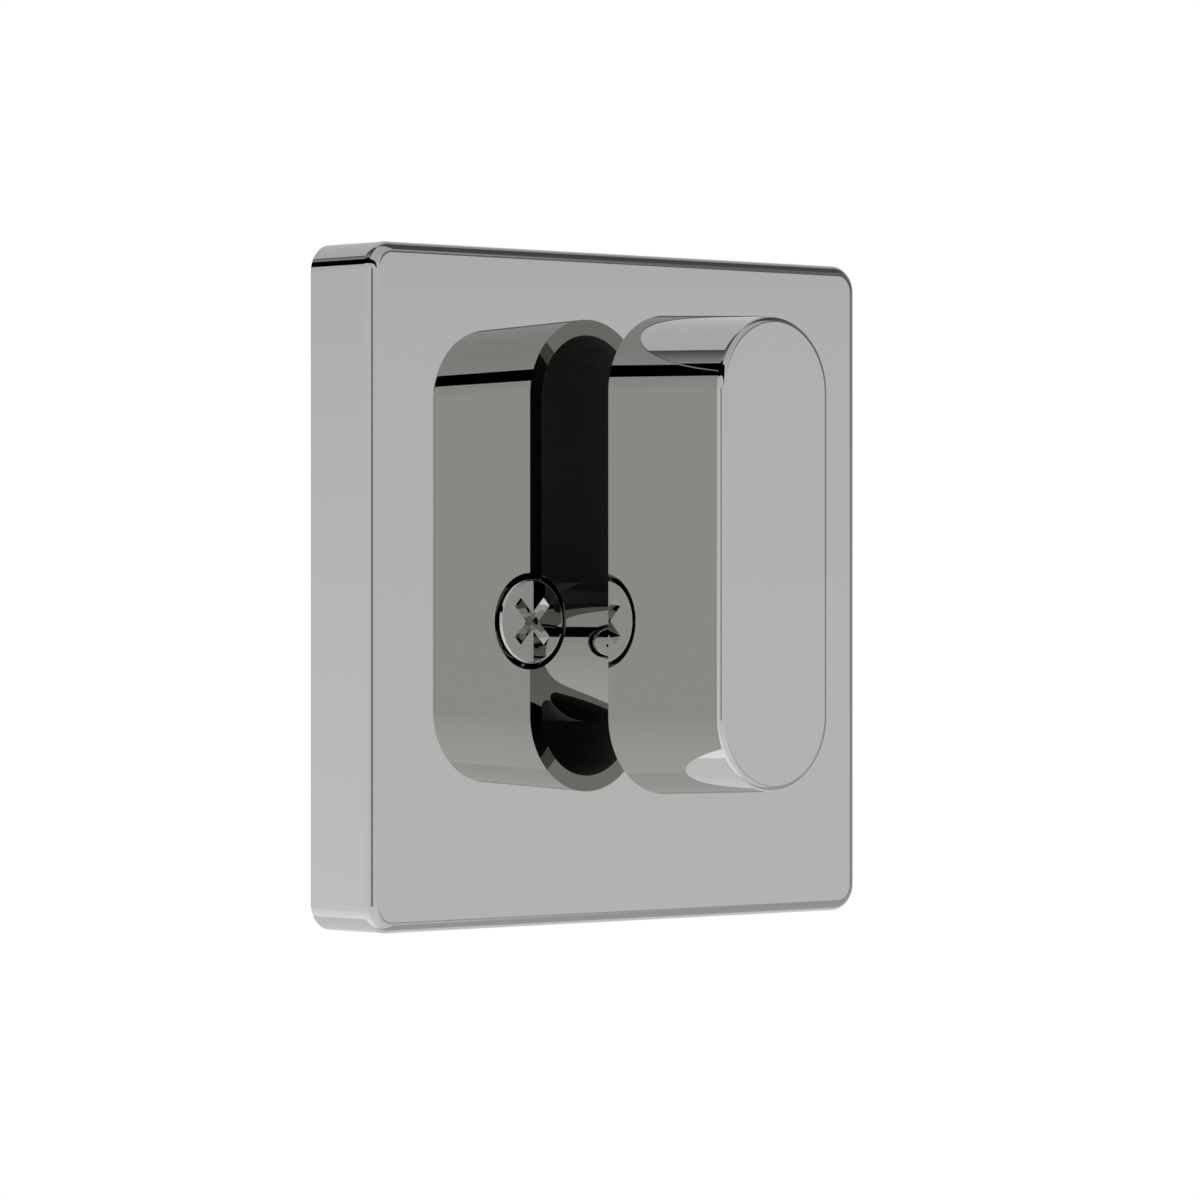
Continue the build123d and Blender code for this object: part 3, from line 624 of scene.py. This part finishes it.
def wall_level(tree, angle, gap, levels):
    """Brightness of one stretch of wall: a ramp of stops by angle, with the black gap taken out."""
    share = add(tree, "MapRange", {"Value": angle, "From Min": -pi / 2, "From Max": pi / 2})
    ramp = add(tree, "ValToRGB", {"Fac": share})
    stops = ramp.color_ramp.elements
    stops.remove(stops[1])
    for degree, level in levels.items():
        position = (degree + 90) / 180
        stop = stops[0] if position == 0 else stops.new(position)
        stop.color = (level, level, level, 1)
    if gap is None:
        return ramp
    lit = add(tree, "Math", {0: 1.0, 1: between(tree, angle, *gap)}, operation="SUBTRACT")
    return add(tree, "Math", {0: ramp, 1: lit}, operation="MULTIPLY")


def studio_walls():
    """World of stretches of wall.

    Compass angles count from +Y towards +X, and wrap where the front wall ends. Height is the arcsine of the
    direction's Z. Where a stretch names the compass angle that its wall faces, its angle is the roll about
    the wall's long axis: the arctangent of the direction's Z over its part that points at the wall.
    """
    world = bpy.data.worlds.new("studio walls")
    world.use_nodes = True
    tree = world.node_tree
    direction = add(tree, "TexCoord").outputs["Generated"]
    part = add(tree, "SeparateXYZ", {"Vector": direction}).outputs
    height = add(tree, "Math", {0: part["Z"]}, operation="ARCSINE")
    turn = add(tree, "Math", {0: part["X"], 1: part["Y"]}, operation="ARCTAN2")
    ends = [wall[:2] for wall in WALLS.values()]
    compass = add(tree, "Math", {0: turn, 1: radians(ends[-1][1]), 2: radians(ends[0][0])}, operation="WRAP")
    total = 0.0
    for start, end, wall, gap, levels in WALLS.values():
        angle = height
        if wall is not None:
            facing = (sin(radians(wall)), cos(radians(wall)), 0)
            toward = add(tree, "VectorMath", {0: direction, 1: facing}, operation="DOT_PRODUCT")
            angle = add(tree, "Math", {0: part["Z"], 1: toward.outputs["Value"]}, operation="ARCTAN2")
        level = wall_level(tree, angle, gap, levels)
        here = between(tree, compass, start, end)
        total = add(tree, "Math", {0: level, 1: here, 2: total}, operation="MULTIPLY_ADD")
    screen = 0.0
    for left, right in SLATS:
        screen = add(tree, "Math", {0: between(tree, compass, left, right), 1: screen}, operation="ADD")
    slat = between(tree, height, -SLAT_HEIGHT, SLAT_HEIGHT)
    shaded = add(tree, "Math", {0: screen, 1: slat}, operation="MULTIPLY")
    clear = add(tree, "Math", {0: 1.0, 1: shaded}, operation="SUBTRACT")
    total = add(tree, "Math", {0: total, 1: clear}, operation="MULTIPLY")
    tree.links.new(total.outputs["Value"], tree.nodes["Background"].inputs["Color"])
    return world


bpy.context.scene.world = studio_walls()
print("world of", len(bpy.context.scene.world.node_tree.nodes), "nodes")

# %% [markdown]
# ## Camera, backdrop, floor and lamp
#
# The camera stands level with the lock and well to one side, far enough away for a long lens. Its place and
# lens were worked out from the perspective of the square rose. A white card behind the lock fills the
# picture. White could also be the world's own colour for camera rays, but a card hides the walls without a
# second set of levels. A pale floor lies well below, out of the picture, and one broad lamp above gives the
# matt pieces soft light from the top. Floor and lamp are kept out of reflections, so they don't
# cover the walls that the chrome shows.

# %% Camera
SENSOR_MM = 36.0
FOCAL_SHARE = 4.83005
CAMERA_TURN = radians(-43.216)
CAMERA_PLACE = Vector((-454.97, -490.06, 2.39)) * MM
NEAREST_MM = 10

camera = bpy.data.objects.new("camera", bpy.data.cameras.new("camera"))
camera.data.sensor_width = SENSOR_MM
camera.data.lens = SENSOR_MM * FOCAL_SHARE
camera.data.clip_start = NEAREST_MM * MM
camera.location = CAMERA_PLACE
camera.rotation_euler = (pi / 2, 0, CAMERA_TURN)
bpy.context.scene.collection.objects.link(camera)
bpy.context.scene.camera = camera
half_angle = degrees(atan(0.5 / FOCAL_SHARE))
print("camera", round(CAMERA_PLACE.length / MM), "mm away, half angle", round(half_angle, 2), "degrees")

# %% Backdrop, floor and lamp
CARD_BEHIND = 1.5
CARD_HALF = 0.45
FLOOR_Z = -0.6
FLOOR_R = 2.5
FLOOR_SPOKES = 97
FLOOR_RINGS = 5
LAMP_Z = 1.6
LAMP_SIZE = 1.6
LAMP_WATTS = 14.0


def stage_sheet(name, points, material):
    """Flat stage piece from a grid of points, rows by columns by three."""
    rows, columns = points.shape[:2]
    first = (np.arange(rows - 1)[:, None] * columns + np.arange(columns - 1)[None, :]).ravel()
    faces = np.stack([first, first + 1, first + columns + 1, first + columns], axis=-1)
    mesh = bpy.data.meshes.new(name)
    mesh.from_pydata(points.reshape(-1, 3), [], faces.tolist())
    mesh.materials.append(material)
    sheet = bpy.data.objects.new(name, mesh)
    bpy.context.scene.collection.objects.link(sheet)
    return sheet


def white_card():
    """White lit card: plain emission at a strength of one, which is white."""
    material = bpy.data.materials.new("white lit card")
    material.use_nodes = True
    tree = material.node_tree
    glow = add(tree, "Emission", {"Color": linear("#FFFFFF"), "Strength": 1.0})
    tree.links.new(glow.outputs["Emission"], tree.nodes["Material Output"].inputs["Surface"])
    return material


look = np.array((-sin(CAMERA_TURN), cos(CAMERA_TURN), 0))
across = np.array((cos(CAMERA_TURN), sin(CAMERA_TURN), 0))
up = np.array((0, 0, 1))
spread = np.linspace(-CARD_HALF, CARD_HALF, 2)
sideways, upward = np.meshgrid(spread, spread, indexing="ij")
card_points = look * CARD_BEHIND + sideways[..., None] * across + upward[..., None] * up
stage_sheet("backdrop", card_points, white_card())

spokes, rings = np.linspace(0, 2 * pi, FLOOR_SPOKES), np.linspace(0, FLOOR_R, FLOOR_RINGS)
around, out = np.meshgrid(spokes, rings, indexing="ij")
floor_points = np.stack([out * np.cos(around), out * np.sin(around), FLOOR_Z + 0 * out], axis=-1)
paint, *_ = start_material("pale matt floor paint", Base_Color=linear("#ECECEA"), Roughness=0.9)
floor = stage_sheet("floor", floor_points, paint)
floor.visible_glossy = False

lamp = bpy.data.objects.new("overhead lamp", bpy.data.lights.new("overhead lamp", "AREA"))
lamp.data.size = LAMP_SIZE
lamp.data.energy = LAMP_WATTS
lamp.location = (0, 0, LAMP_Z)
lamp.visible_glossy = False
bpy.context.scene.collection.objects.link(lamp)
print("card", 2 * CARD_HALF, "m wide,", CARD_BEHIND, "m behind; floor", -FLOOR_Z, "m below")
print("lamp", LAMP_WATTS, "W at a height of", LAMP_Z, "m")

# %% [markdown]
# ## Last settings
#
# Between the thumbturn and the rose a ray goes from mirror to mirror, and each bounce takes almost half its
# light. Four bounces leave about a tenth, so rays stop there and the narrow gap goes black. The same number
# as the least count of light bounces keeps Cycles from dropping rays at random before that, which would
# leave speckles. Colours are shown with the plain Standard view.

# %% Bounces and view
GLOSSY_BOUNCES = 4
bpy.context.scene.cycles.max_bounces = GLOSSY_BOUNCES
bpy.context.scene.cycles.glossy_bounces = GLOSSY_BOUNCES
bpy.context.scene.cycles.min_light_bounces = GLOSSY_BOUNCES
bpy.context.scene.view_settings.view_transform = "Standard"
